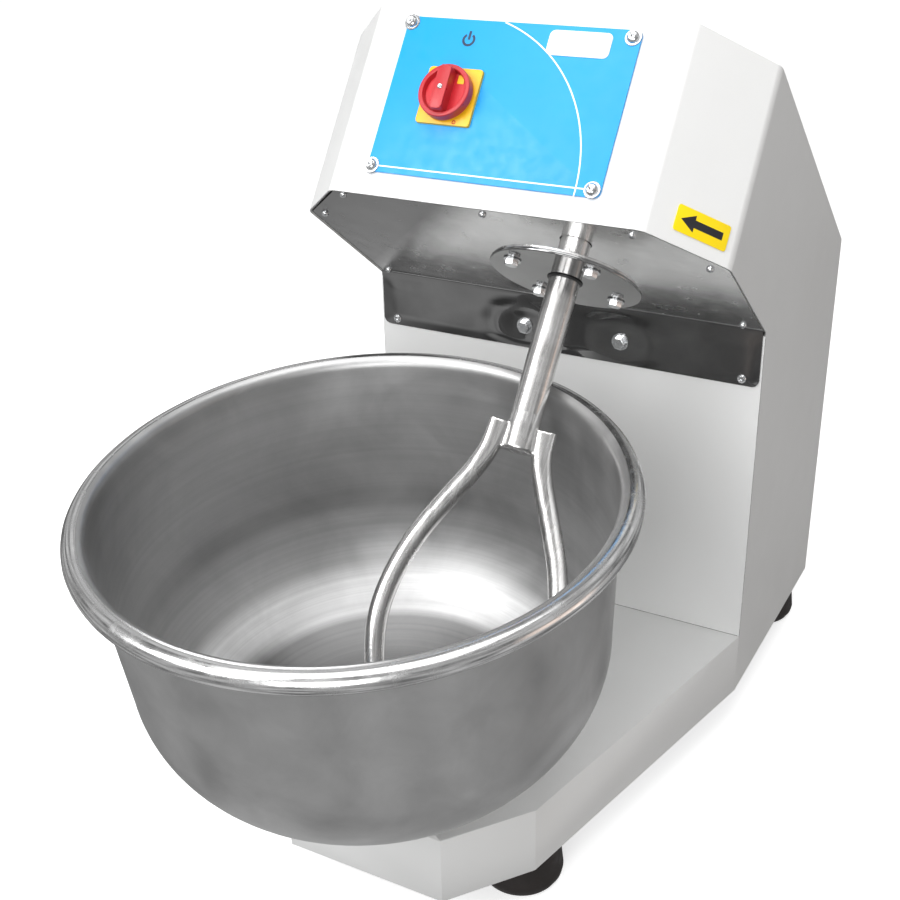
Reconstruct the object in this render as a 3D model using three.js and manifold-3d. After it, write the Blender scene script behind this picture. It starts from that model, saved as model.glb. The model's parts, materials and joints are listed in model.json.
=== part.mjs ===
// Fork dough kneader: a tilted stainless bowl that turns on a spindle in a narrow base, and a
// two-tine fork that hangs from a slanted head and is driven by a belt and gearmotor.
// Millimetres, +Z up. The bowl is at the front (-Y), the column at the back, the floor at z = 0.
import * as THREE from "three";
import { mergeVertices } from "three/addons/utils/BufferGeometryUtils.js";
import Module from "manifold-3d";

const wasm = await Module();
wasm.setup();

// Driving dimensions
const SHEET = 2;
const FLOOR_PLATE = 3;
const GAP = 0.3;
const BODY_WIDTH = 430;
const COLUMN_DEPTH = 287;
const FOOT_HEIGHT = 45;
const DECK_HEIGHT = 70;
const NECK_HEIGHT = 418;
const HEAD_PITCH = THREE.MathUtils.degToRad(38);
const FRONT_LEAN = THREE.MathUtils.degToRad(36);
const SOFFIT_LENGTH = 235;
const FRONT_HEIGHT = 186;
const CHAMFER_ACROSS = 62;
const CHAMFER_ALONG = 68;
const NOSE_SHOULDER = { x: 138, y: -348 };
const NOSE_TIP = { x: 81, y: -422 };

const BOWL = {
  y: -404, z: 385, tilt: THREE.MathUtils.degToRad(6.4),
  radius: 213, wall: 1.5, taper: 9, straight: 136, depth: 266, flat: 40, lip: 6, bead: 9,
};
const AGITATOR = { x: 76, along: 181, plane: THREE.MathUtils.degToRad(22) };
const TUBE_RADIUS = 14;
const TINE_RADIUS = 9;
const DISC = { radius: 69, thickness: 3, drop: 31.7, flange: 2.5, flangeRadius: 67 };
const COUPLING_BOLTS = { count: 4, circle: 52.5, shank: 3, hole: 3.4 };
const COLLAR = { radius: 15.8, height: 1.8 };
const SHAFT_RADIUS = 12.5;
const BEARING_RADIUS = 26;
const BELT = { drive: 22, driven: 44, thickness: 6, width: 9, z: 105, flange: 6 };
const GEARMOTOR = { x: 0, along: -160 };
const SPLASH = { bottom: 360, round: 8, steel: 1.5, recess: 1, shaftHole: 15 };
const SPLASH_BOLT_HEIGHT = 384;
const HEAD_PLATE = { low: 6, high: 14, tip: 226, tail: 215 };
const FEET = [
  { name: "front_left", x: -105, y: -310 }, { name: "front_right", x: 105, y: -310 },
  { name: "rear_left", x: -172, y: 240 }, { name: "rear_right", x: 172, y: 240 },
];
const FOOT_BOLT = { radius: 5, hole: 5.4 };
const GLAND = { x: -120, z: 60, bore: 4.5 };
const SWITCH = { x: -54.6, y: 98.5, bore: 5.5 };
const DECK_BORE = { at: 316, radius: 42 };
const RAIL = { inner: 55, width: 30, low: FLOOR_PLATE + GAP, high: 63, rear: 275, front: -340, wall: 2.5 };
const HALF = BODY_WIDTH / 2;

// Looks
const WHITE = { color: 0xeeeeec, roughness: 0.45, metalness: 0 };
const MIRROR_STEEL = { color: 0xc9cacb, roughness: 0.08, metalness: 1 };
const SATIN_STEEL = { color: 0xa6a7a8, roughness: 0.35, metalness: 1 };
const FRAME_STEEL = { color: 0x6c7075, roughness: 0.6, metalness: 0.6 };
const CAST_IRON = { color: 0x55585c, roughness: 0.7, metalness: 0.4 };
const RUBBER = { color: 0x1d1715, roughness: 0.8, metalness: 0 };
const MOTOR_GREY = { color: 0x7d868c, roughness: 0.5, metalness: 0.3 };
const SKY_BLUE = { color: 0x45b4ee, roughness: 0.3, metalness: 0 };
const YELLOW = { color: 0xf7cf1d, roughness: 0.4, metalness: 0 };
const RED = { color: 0xc4242f, roughness: 0.35, metalness: 0 };
const LABEL_WHITE = { color: 0xf6f6f6, roughness: 0.4, metalness: 0 };

// Shape helpers

function vec(x, y, z) {
  return new THREE.Vector3(x, y, z);
}

function bare(geometry) {
  const copy = geometry.clone();
  copy.deleteAttribute("normal");
  copy.deleteAttribute("uv");
  return mergeVertices(copy, 1e-4);
}

function toSolid(geometry) {
  const merged = bare(geometry);
  const vertProperties = merged.attributes.position.array;
  const triVerts = new Uint32Array(merged.index.array);
  return new wasm.Manifold(new wasm.Mesh({ numProp: 3, vertProperties, triVerts }));
}

function toGeometry(solid) {
  const mesh = solid.getMesh();
  const geometry = new THREE.BufferGeometry();
  geometry.setAttribute("position", new THREE.BufferAttribute(mesh.vertProperties, 3));
  geometry.setIndex(new THREE.BufferAttribute(mesh.triVerts, 1));
  geometry.computeVertexNormals();
  return geometry;
}

function join(...geometries) {
  return toGeometry(geometries.map(toSolid).reduce((whole, next) => whole.add(next)));
}

function cut(geometry, ...tools) {
  return toGeometry(tools.map(toSolid).reduce((rest, tool) => rest.subtract(tool), toSolid(geometry)));
}

// A round bar along Z, from one height to another, centred on (x, y)
function bar(radius, low, high, sides = 20, x = 0, y = 0) {
  const geometry = new THREE.CylinderGeometry(radius, radius, high - low, sides);
  return geometry.rotateX(Math.PI / 2).translate(x, y, (low + high) / 2);
}

function block(x0, x1, y0, y1, z0, z1) {
  const geometry = new THREE.BoxGeometry(x1 - x0, y1 - y0, z1 - z0);
  return geometry.translate((x0 + x1) / 2, (y0 + y1) / 2, (z0 + z1) / 2);
}

// A turned piece about Z; points are [radius, height], anticlockwise with the axis on the left
function turned(points, segments = 28) {
  const profile = points.map(([radius, height]) => new THREE.Vector2(radius, height));
  return new THREE.LatheGeometry(profile, segments).rotateX(Math.PI / 2);
}

function ring(inner, outer, low, high, segments = 24) {
  return turned([[inner, low], [outer, low], [outer, high], [inner, high], [inner, low]], segments);
}

function roundedRectangle(width, height, radius) {
  const x = width / 2;
  const y = height / 2;
  const shape = new THREE.Shape();
  shape.absarc(x - radius, y - radius, radius, 0, Math.PI / 2);
  shape.absarc(radius - x, y - radius, radius, Math.PI / 2, Math.PI);
  shape.absarc(radius - x, radius - y, radius, Math.PI, Math.PI * 1.5);
  shape.absarc(x - radius, radius - y, radius, Math.PI * 1.5, Math.PI * 2);
  return shape;
}

function pad(width, height, radius, low, high, x = 0, y = 0) {
  const options = { depth: high - low, bevelEnabled: false, curveSegments: 3 };
  return new THREE.ExtrudeGeometry(roundedRectangle(width, height, radius), options).translate(x, y, low);
}

// Moves every side of a flat outline inwards by the same distance
function insetOutline(points, distance) {
  const count = points.length;
  const lines = points.map((point, i) => {
    const along = points[(i + 1) % count].clone().sub(point).normalize();
    const inward = new THREE.Vector2(-along.y, along.x);
    return { point: point.clone().addScaledVector(inward, distance), along };
  });
  return lines.map((line, i) => {
    const before = lines[(i + count - 1) % count];
    const offset = line.point.clone().sub(before.point);
    const reach = offset.cross(line.along) / before.along.cross(line.along);
    return before.point.clone().addScaledVector(before.along, reach);
  });
}

// A flat sheet whose outer face has the given corners, anticlockwise seen from outside
function sheet(corners, { thickness = SHEET, inset = 0, holes = [] } = {}) {
  const along = corners[1].clone().sub(corners[0]).normalize();
  const outward = vec(0, 0, 0);
  corners.forEach((corner, i) => outward.add(corner.clone().cross(corners[(i + 1) % corners.length])));
  outward.normalize();
  const up = outward.clone().cross(along);
  const flat = corners.map((corner) => {
    const offset = corner.clone().sub(corners[0]);
    return new THREE.Vector2(offset.dot(along), offset.dot(up));
  });
  const shape = new THREE.Shape(insetOutline(flat, inset));
  for (const { at, radius } of holes) {
    const offset = at.clone().sub(corners[0]);
    shape.holes.push(new THREE.Path().absarc(offset.dot(along), offset.dot(up), radius, 0, Math.PI * 2));
  }
  const options = { depth: thickness, bevelEnabled: false, curveSegments: 6 };
  const geometry = new THREE.ExtrudeGeometry(shape, options);
  const basis = new THREE.Matrix4().makeBasis(along, up, outward).setPosition(corners[0]);
  return geometry.translate(0, 0, -thickness).applyMatrix4(basis);
}

// Corner points of the housing, right-hand side; mirrored() gives the left-hand ones
const alongSoffit = vec(0, -Math.cos(HEAD_PITCH), Math.sin(HEAD_PITCH));
const upFront = vec(0, Math.sin(FRONT_LEAN), Math.cos(FRONT_LEAN));
const neck = vec(HALF, 0, NECK_HEIGHT);
const chamferRun = alongSoffit.clone().multiplyScalar(-CHAMFER_ALONG).setX(CHAMFER_ACROSS);
const frontLow = neck.clone().addScaledVector(alongSoffit, SOFFIT_LENGTH).setX(HALF - CHAMFER_ACROSS);
const frontHigh = frontLow.clone().addScaledVector(upFront, FRONT_HEIGHT);
const cheekLow = frontLow.clone().add(chamferRun);
const cheekHigh = frontHigh.clone().add(chamferRun);
const rearReach = (COLUMN_DEPTH - frontHigh.y) / Math.cos(HEAD_PITCH);
const rearHigh = frontHigh.clone().addScaledVector(alongSoffit, -rearReach).setX(HALF);

function mirrored(point) {
  return vec(-point.x, point.y, point.z);
}

function atX(point, x) {
  return vec(x, point.y, point.z);
}

// Groups: the body stands on the feet; the head and the bowl have turned groups of their own
const machine = new THREE.Group();
const body = new THREE.Group();
body.position.z = FOOT_HEIGHT;
machine.add(body);

const head = new THREE.Group();
head.position.z = NECK_HEIGHT;
head.rotation.x = -HEAD_PITCH;
body.add(head);

const agitator = new THREE.Group();
agitator.position.set(AGITATOR.x, -AGITATOR.along, 0);
head.add(agitator);

const front = new THREE.Group();
front.position.set(0, frontLow.y, frontLow.z);
front.rotation.x = Math.PI / 2 - FRONT_LEAN;
body.add(front);

const bowl = new THREE.Group();
bowl.position.set(0, BOWL.y, BOWL.z);
bowl.rotation.x = BOWL.tilt;
body.add(bowl);

function add(parent, name, geometry, look) {
  const mesh = new THREE.Mesh(bare(geometry), new THREE.MeshStandardMaterial(look));
  mesh.name = name;
  parent.add(mesh);
  return mesh;
}

// Housing

function addSidePanels() {
  const outline = [vec(HALF, 0, 0), vec(HALF, COLUMN_DEPTH, 0), rearHigh, cheekHigh, cheekLow, neck];
  add(body, "right_side_panel", sheet(outline), WHITE);
  add(body, "left_side_panel", sheet(outline.map(mirrored).reverse()), WHITE);
  const plate = outline.map((corner) => atX(corner, HALF - SHEET - GAP));
  plate[0].z = FLOOR_PLATE + GAP;
  plate[1].z = FLOOR_PLATE + GAP;
  add(body, "right_frame_plate", framePlate(plate), FRAME_STEEL);
  add(body, "left_frame_plate", framePlate(plate.map(mirrored).reverse()), FRAME_STEEL);
}

// The side panel's outline again, a little smaller, with a window that leaves a wide border
function framePlate(outline) {
  const window = outline.map((corner) => atX(corner, Math.sign(corner.x) * HALF));
  return cut(sheet(outline, { thickness: 5, inset: 5 }), sheet(window, { thickness: 30, inset: 46 }));
}

// The front face and its two chamfered cheeks are one folded sheet
function addHeadCovers() {
  const [lowL, highL, cheekLowL, cheekHighL] = [frontLow, frontHigh, cheekLow, cheekHigh].map(mirrored);
  const flange = HALF - SHEET - GAP;
  const face = sheet([lowL, frontLow, frontHigh, highL]);
  const rightCheek = sheet([frontLow, cheekLow, cheekHigh, frontHigh]);
  const leftCheek = sheet([cheekLowL, lowL, highL, cheekHighL]);
  const spindleHole = bar(SWITCH.bore + 1.5, -20, 20, 12, SWITCH.x, SWITCH.y);
  front.updateWorldMatrix(true, false);
  spindleHole.applyMatrix4(front.matrixWorld).translate(0, 0, -FOOT_HEIGHT);
  const trim = block(-flange, flange, -400, 400, 0, 900);
  const folded = toSolid(cut(join(face, rightCheek, leftCheek), spindleHole)).intersect(toSolid(trim));
  add(body, "head_front_cover", toGeometry(folded), WHITE);
  const top = [highL, frontHigh, cheekHigh, rearHigh, mirrored(rearHigh), cheekHighL];
  add(body, "head_top_cover", sheet(top, { inset: SHEET + 2 * GAP }), WHITE);
}

function addRearPanel() {
  const x = HALF - SHEET - GAP;
  const top = rearHigh.z - 3;
  const corners = [vec(x, COLUMN_DEPTH, 0), vec(-x, COLUMN_DEPTH, 0), vec(-x, COLUMN_DEPTH, top)];
  corners.push(vec(x, COLUMN_DEPTH, top));
  const slots = [];
  for (let row = 0; row < 6; row += 1) {
    for (const side of [-1, 1]) {
      const z = 250 + row * 18;
      slots.push(block(side * 62 - 48, side * 62 + 48, COLUMN_DEPTH - 20, COLUMN_DEPTH + 20, z, z + 6));
    }
  }
  const gland = { at: vec(GLAND.x, COLUMN_DEPTH, GLAND.z), radius: 8.4 };
  add(body, "rear_panel", cut(sheet(corners, { holes: [gland] }), ...slots), WHITE);
}

function addColumnFront() {
  const x = HALF - SHEET - GAP;
  const low = DECK_HEIGHT + GAP;
  const high = NECK_HEIGHT - 4;
  const corners = [vec(-x, 0, low), vec(x, 0, low), vec(x, 0, high), vec(-x, 0, high)];
  add(body, "column_front_panel", sheet(corners), WHITE);
}

function footprint(rear) {
  const right = [vec(NOSE_TIP.x, NOSE_TIP.y, 0), vec(NOSE_SHOULDER.x, NOSE_SHOULDER.y, 0)];
  right.push(...rear);
  return [...right, ...right.map(mirrored).reverse()];
}

// Deck and side walls of the base, folded and welded as one cover that is open underneath
function addBase() {
  const outline = footprint([vec(HALF, -GAP, 0)]);
  const hole = { at: vec(0, bowlPoint(-DECK_BORE.at).y, DECK_HEIGHT), radius: DECK_BORE.radius };
  const raised = outline.map((corner) => vec(corner.x, corner.y, DECK_HEIGHT));
  const pieces = [sheet(raised, { holes: [hole] })];
  for (let i = 0; i < outline.length; i += 1) {
    const here = outline[i];
    const next = outline[(i + 1) % outline.length];
    if (here.y < -GAP || next.y < -GAP) {
      pieces.push(sheet([here, next, vec(next.x, next.y, DECK_HEIGHT), vec(here.x, here.y, DECK_HEIGHT)]));
    }
  }
  const behind = block(-HALF, HALF, -GAP, SHEET, -SHEET, DECK_HEIGHT + SHEET);
  add(body, "base_shell", cut(join(...pieces), behind), WHITE);
  const floor = footprint([vec(HALF, 0, 0), vec(HALF, COLUMN_DEPTH, 0)]);
  const holes = FEET.map(({ x, y }) => ({ at: vec(x, y, FLOOR_PLATE), radius: FOOT_BOLT.radius + 0.6 }));
  const top = floor.map((corner) => vec(corner.x, corner.y, FLOOR_PLATE));
  const plate = sheet(top, { thickness: FLOOR_PLATE, inset: SHEET + GAP, holes });
  add(body, "base_plate", plate, FRAME_STEEL);
}

// One bent stainless sheet: the soffit under the head and the splash guard down the column
function addSoffit() {
  const { steel, recess, round, bottom } = SPLASH;
  const face = GAP + steel;
  const edge = HALF - SHEET - GAP;
  const rise = (face * Math.sin(HEAD_PITCH) + recess) / Math.cos(HEAD_PITCH);
  const bend = vec(0, -face, NECK_HEIGHT + rise);
  const reach = SOFFIT_LENGTH - SHEET - 3;
  const tip = bend.clone().addScaledVector(alongSoffit, reach - recess);
  const shoulder = bend.clone().addScaledVector(alongSoffit, reach - CHAMFER_ALONG);
  const tipX = HALF - CHAMFER_ACROSS - 3;
  const root = bend.clone().addScaledVector(alongSoffit, -steel / 2);
  const holes = [{ at: agitatorOnSoffit(), radius: SPLASH.shaftHole }];
  const soffit = sheet([
    atX(root, edge), atX(shoulder, edge), atX(tip, tipX),
    atX(tip, -tipX), atX(shoulder, -edge), atX(root, -edge),
  ], { thickness: steel, holes });
  const guard = new THREE.Shape();
  guard.moveTo(-edge, bend.z);
  guard.absarc(-edge + round, bottom + round, round, Math.PI, Math.PI * 1.5);
  guard.absarc(edge - round, bottom + round, round, Math.PI * 1.5, Math.PI * 2);
  guard.lineTo(edge, bend.z);
  const options = { depth: steel, bevelEnabled: false, curveSegments: 6 };
  const upright = new THREE.ExtrudeGeometry(guard, options).rotateX(Math.PI / 2).translate(0, -GAP, 0);
  add(body, "soffit_splash_plate", join(soffit, upright), MIRROR_STEEL);
}

function agitatorOnSoffit() {
  return vec(AGITATOR.x, 0, NECK_HEIGHT).addScaledVector(alongSoffit, AGITATOR.along);
}

function addSplashBolts() {
  for (const [name, x] of [["splash_bolt_left", -40], ["splash_bolt_right", 67]]) {
    const washer = bar(9, 0, 1.4, 16);
    const hexagon = bar(7, 1, 6.5, 6);
    const bolt = join(washer, hexagon).rotateX(Math.PI / 2);
    add(body, name, bolt.translate(x, -2 * GAP - SPLASH.steel, SPLASH_BOLT_HEIGHT), SATIN_STEEL);
  }
}

// Inner frame

function bowlPoint(height) {
  return vec(0, BOWL.y - height * Math.sin(BOWL.tilt), BOWL.z + height * Math.cos(BOWL.tilt));
}

function addRails() {
  for (const [name, side] of [["left_base_rail", -1], ["right_base_rail", 1]]) {
    const centre = side * (RAIL.inner + RAIL.width / 2);
    const half = RAIL.width / 2;
    const outer = block(centre - half, centre + half, RAIL.front, RAIL.rear, RAIL.low, RAIL.high);
    const bore = half - RAIL.wall;
    const low = RAIL.low + RAIL.wall;
    const high = RAIL.high - RAIL.wall;
    const hollow = block(centre - bore, centre + bore, RAIL.front - 9, RAIL.rear + 9, low, high);
    add(body, name, cut(outer, hollow), FRAME_STEEL);
  }
}

function addFeet() {
  for (const { name, x, y } of FEET) {
    const { radius, hole } = FOOT_BOLT;
    const top = FOOT_HEIGHT - GAP;
    const foot = turned([
      [0, 0], [36, 0], [40, 4], [41, 12], [38, top], [hole, top], [hole, 18], [0, 18],
    ], 20);
    add(machine, `${name}_foot`, foot.translate(x, y, 0), RUBBER);
    const nut = bar(9, FOOT_HEIGHT + FLOOR_PLATE + GAP, FOOT_HEIGHT + 9, 6);
    const bolt = join(bar(radius, 19, FOOT_HEIGHT + 5, 10), nut);
    add(machine, `${name}_foot_bolt`, bolt.translate(x, y, 0), SATIN_STEEL);
  }
}

function addGland() {
  const gland = join(bar(8, -14, 3, 16), bar(13, GAP, 9, 6), bar(9.5, 8, 22, 16));
  const bored = cut(gland, bar(GLAND.bore, -30, 30, 12)).rotateX(-Math.PI / 2);
  add(body, "cable_gland", bored.translate(GLAND.x, COLUMN_DEPTH, GLAND.z), RUBBER);
}

// Bowl, its hub and spindle

function bowlProfile() {
  const { radius, wall, taper, straight, depth, flat, lip } = BOWL;
  const steps = 6;
  const outer = [];
  const inner = [];
  for (let i = 0; i <= steps; i += 1) {
    const angle = (Math.PI / 2) * (1 - i / steps);
    const reach = radius - taper - flat;
    const drop = depth - straight;
    inner.push([flat + reach * Math.cos(angle), -straight - drop * Math.sin(angle)]);
    outer.push([flat + (reach + wall) * Math.cos(angle), -straight - (drop + wall) * Math.sin(angle)]);
  }
  const floor = [[0, -depth - wall], ...outer, [radius + wall, 0], [radius + wall, lip]];
  return [...floor, [radius, lip], [radius, 0], ...inner.reverse(), [0, -depth]];
}

function addBowl() {
  add(bowl, "bowl_shell", turned(bowlProfile(), 40), SATIN_STEEL);
  const rim = new THREE.TorusGeometry(BOWL.radius + BOWL.wall + GAP + BOWL.bead, BOWL.bead, 8, 40);
  add(bowl, "bowl_rim", rim, MIRROR_STEEL);
  const top = -BOWL.depth - BOWL.wall - GAP;
  const bore = SHAFT_RADIUS + GAP;
  const hub = turned([
    [bore, top - 22], [24, top - 22], [26, top - 12], [36, top - 10], [36, top], [bore, top],
    [bore, top - 22],
  ]);
  add(bowl, "bowl_hub", hub, CAST_IRON);
  add(bowl, "bowl_spindle", bar(SHAFT_RADIUS, top - 94, top - GAP), SATIN_STEEL);
  add(bowl, "spindle_nut", cut(bar(19, top - 92, top - 83, 6), bar(bore, top - 99, top - 79)), SATIN_STEEL);
  addSpindleBearings(top - 25);
}

function addSpindleBearings(top) {
  const bore = BEARING_RADIUS + GAP;
  const flangeTop = top - 33;
  const outer = 36;
  const housing = turned([
    [bore, top - 57], [outer, top - 57], [outer, flangeTop - 8], [48, flangeTop - 8], [48, flangeTop],
    [outer, flangeTop], [outer, top], [bore, top], [bore, top - 57],
  ]);
  add(bowl, "bowl_bearing_housing", housing, CAST_IRON);
  for (const [name, z] of [["bowl_bearing_upper", top - 3], ["bowl_bearing_lower", top - 39]]) {
    add(bowl, name, ring(SHAFT_RADIUS + GAP, BEARING_RADIUS, z - 15, z), SATIN_STEEL);
  }
  const plateTop = flangeTop - 8 - GAP;
  const half = RAIL.inner - GAP;
  const blank = block(-half, half, -44, 60, plateTop - 8, plateTop);
  const plate = cut(blank, bar(outer + 2 * GAP, plateTop - 20, plateTop + 20, 28));
  add(bowl, "spindle_bearing_plate", plate, FRAME_STEEL);
}

// Head drive: z = 0 is the soffit plane and the agitator hangs towards -z

function addHeadPlate() {
  const edge = HALF - SHEET - 5 - 2 * GAP - 0.4;
  const { low, high: z, tip, tail } = HEAD_PLATE;
  const narrow = (tip - (SOFFIT_LENGTH - CHAMFER_ALONG)) * (CHAMFER_ACROSS / CHAMFER_ALONG);
  const shoulder = SOFFIT_LENGTH - CHAMFER_ALONG - 10;
  const corners = [
    vec(edge, tail, z), vec(-edge, tail, z), vec(-edge, -shoulder, z), vec(narrow - HALF + 10, -tip, z),
    vec(HALF - 10 - narrow, -tip, z), vec(edge, -shoulder, z),
  ];
  const shaft = { at: vec(AGITATOR.x, -AGITATOR.along, z), radius: 20 };
  const motor = { at: vec(GEARMOTOR.x, -GEARMOTOR.along, z), radius: 30 };
  add(head, "head_plate", sheet(corners, { thickness: z - low, holes: [shaft, motor] }), FRAME_STEEL);
}

function addAgitatorBearings() {
  const low = HEAD_PLATE.high + GAP;
  const bore = BEARING_RADIUS + GAP;
  const housing = turned([
    [bore, low], [45, low], [45, low + 10], [36, low + 14], [36, 94], [bore, 94], [bore, low],
  ]);
  add(agitator, "agitator_bearing_housing", housing, CAST_IRON);
  for (const [name, z] of [["agitator_bearing_lower", 18], ["agitator_bearing_upper", 76]]) {
    add(agitator, name, ring(SHAFT_RADIUS + GAP, BEARING_RADIUS, z, z + 15), SATIN_STEEL);
  }
}

function pulley(groove, bore) {
  const { z, width, flange, thickness } = BELT;
  const outer = groove + thickness;
  const slack = 0.5;
  return turned([
    [bore, z - flange], [outer, z - flange], [outer, z - slack], [groove, z - slack],
    [groove, z + width + slack], [outer, z + width + slack], [outer, z + width + flange],
    [bore, z + width + flange], [bore, z - flange],
  ]);
}

// The stretched loop round two pulleys whose centres are given
function beltLoop(from, to, fromRadius, toRadius) {
  const run = to.clone().sub(from);
  const heading = run.angle();
  const lean = Math.acos((fromRadius - toRadius) / run.length());
  const shape = new THREE.Shape();
  shape.absarc(from.x, from.y, fromRadius, heading + lean, heading - lean + Math.PI * 2);
  shape.absarc(to.x, to.y, toRadius, heading - lean, heading + lean);
  return shape;
}

function addBeltDrive() {
  const { drive, driven, thickness, width, z } = BELT;
  const from = new THREE.Vector2(AGITATOR.x, -AGITATOR.along);
  const to = new THREE.Vector2(GEARMOTOR.x, -GEARMOTOR.along);
  const slack = 0.4;
  const loop = beltLoop(from, to, driven + slack + thickness, drive + slack + thickness);
  loop.holes.push(beltLoop(from, to, driven + slack, drive + slack));
  const options = { depth: width, bevelEnabled: false, curveSegments: 10 };
  add(head, "drive_belt", new THREE.ExtrudeGeometry(loop, options).translate(0, 0, z), RUBBER);
  add(agitator, "agitator_pulley", pulley(driven, SHAFT_RADIUS + GAP), CAST_IRON);
  const motorside = new THREE.Group();
  motorside.position.set(to.x, to.y, 0);
  head.add(motorside);
  const shaft = 10;
  add(motorside, "drive_pulley", pulley(drive, shaft + GAP), CAST_IRON);
  add(motorside, "gearbox_output_shaft", bar(shaft, 60, z + width + 10), SATIN_STEEL);
  const gearbox = cut(pad(104, 104, 12, HEAD_PLATE.high + GAP, 82), bar(shaft + GAP, 58, 90));
  add(motorside, "gearbox", gearbox, MOTOR_GREY);
  const motor = join(bar(50, -72, 5, 32), bar(27, 4, 14, 24));
  add(motorside, "motor", motor, MOTOR_GREY);
  const cover = turned([[0, -100], [46, -100], [51, -95], [51, -72 - GAP], [0, -72 - GAP]], 32);
  add(motorside, "motor_fan_cover", cover, MOTOR_GREY);
}

// Agitator: drive shaft with its flange, the bolted disc, and the welded tube and fork

function addCoupling() {
  const top = BELT.z + BELT.width + 10;
  const face = -DISC.drop;
  const back = face + DISC.flange;
  const shaft = turned([
    [0, face], [DISC.flangeRadius, face], [DISC.flangeRadius, back], [TUBE_RADIUS, back],
    [TUBE_RADIUS, 12], [SHAFT_RADIUS, 12], [SHAFT_RADIUS, top], [0, top],
  ]);
  const { count, circle, shank, hole } = COUPLING_BOLTS;
  const bolts = [];
  const holes = [];
  for (let i = 0; i < count; i += 1) {
    const angle = (i + 0.5) * ((2 * Math.PI) / count);
    bolts.push([circle * Math.cos(angle), circle * Math.sin(angle)]);
    holes.push(bar(hole, -60, 0, 8, ...bolts[i]));
  }
  const discTop = face - GAP;
  const disc = bar(DISC.radius, discTop - DISC.thickness, discTop, 36);
  add(agitator, "drive_shaft", cut(shaft, ...holes), SATIN_STEEL);
  add(agitator, "coupling_disc", cut(disc, ...holes), MIRROR_STEEL);
  const seat = discTop - DISC.thickness - GAP;
  bolts.forEach(([x, y], i) => {
    const washer = bar(8, seat - 1.4, seat, 12, x, y);
    const hexagon = bar(6.2, seat - 6, seat - 1, 6, x, y);
    const thread = bar(shank, seat - 3, back - GAP, 8, x, y);
    add(agitator, `coupling_bolt_${i + 1}`, join(washer, hexagon, thread), SATIN_STEEL);
  });
  const collar = ring(TUBE_RADIUS + GAP, COLLAR.radius, seat - COLLAR.height, seat);
  add(agitator, "collar_ring", collar, RUBBER);
  return seat;
}

// Each tine starts flat beside the tube, spreads, and bends back in near the bowl's bottom
function tine(side) {
  const route = [
    [21, -171], [21.5, -180], [24, -198], [32, -220], [44, -245], [62, -285], [72.5, -324], [75, -362],
    [67, -399], [54, -428], [46, -442],
  ];
  const curve = new THREE.CatmullRomCurve3(route.map(([reach, z]) => vec(side * reach, 0, z)));
  const section = new THREE.Shape().absarc(0, 0, TINE_RADIUS, 0, Math.PI * 2);
  const options = { steps: 20, extrudePath: curve, bevelEnabled: false, curveSegments: 5 };
  return new THREE.ExtrudeGeometry(section, options);
}

function addFork(top) {
  const tube = bar(TUBE_RADIUS, -193, top);
  const fork = join(tube, tine(-1), tine(1)).rotateZ(AGITATOR.plane);
  add(agitator, "agitator_fork", fork, SATIN_STEEL);
}

// Control panel: z = 0 is the outer face of the head front

function addControls() {
  const z = GAP;
  const panel = pad(229, 152, 6, z, z + 2, -4.6, 98);
  add(front, "control_panel", cut(panel, bar(SWITCH.bore, -9, 9, 12, SWITCH.x, SWITCH.y)), SKY_BLUE);
  const plateLow = z + 2 + GAP;
  const plate = pad(54, 54, 4, plateLow, plateLow + 3, SWITCH.x, SWITCH.y);
  add(front, "switch_plate", cut(plate, bar(SWITCH.bore, -9, 19, 12, SWITCH.x, SWITCH.y)), YELLOW);
  const label = pad(59, 23.5, 5, plateLow, plateLow + 0.6, 54.8, 157.5);
  add(front, "blank_label", label, LABEL_WHITE);
  const knobLow = plateLow + 3 + GAP;
  const rim = bar(25, knobLow, knobLow + 10, 28);
  const grip = pad(11, 46, 3, knobLow + 9, knobLow + 21);
  const spindle = bar(4.5, -16, knobLow + 1, 12);
  const knob = join(rim, grip, spindle).translate(SWITCH.x, SWITCH.y, 0);
  add(front, "switch_knob", knob, RED);
  const housing = pad(50, 50, 3, -50, -SHEET - GAP, SWITCH.x, SWITCH.y);
  const bored = cut(housing, bar(SWITCH.bore, -18, 9, 12, SWITCH.x, SWITCH.y));
  add(front, "switch_body", bored, RUBBER);
}

function addSticker() {
  const across = cheekLow.clone().sub(frontLow).normalize();
  const up = frontHigh.clone().sub(frontLow).normalize();
  const outward = across.clone().cross(up).normalize();
  const level = outward.clone().cross(across);
  const basis = new THREE.Matrix4().makeBasis(across, level, outward);
  const middle = frontLow.clone().addScaledVector(across, 54.5).addScaledVector(up, 23.5);
  const sticker = pad(54, 23, 3, GAP, GAP + 0.5).applyMatrix4(basis.setPosition(middle));
  add(body, "direction_sticker", sticker, YELLOW);
}

addSidePanels();
addHeadCovers();
addRearPanel();
addColumnFront();
addBase();
addSoffit();
addSplashBolts();
addRails();
addFeet();
addGland();
addBowl();
addHeadPlate();
addAgitatorBearings();
addBeltDrive();
addFork(addCoupling());
addControls();
addSticker();

// The origin is on the floor, under the middle of the bounding box
const extent = new THREE.Box3().setFromObject(machine, true);
machine.position.y = -(extent.min.y + extent.max.y) / 2;

export default machine;
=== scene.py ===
import json
import math

import bmesh
import bpy
from mathutils import Matrix, Vector


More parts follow.
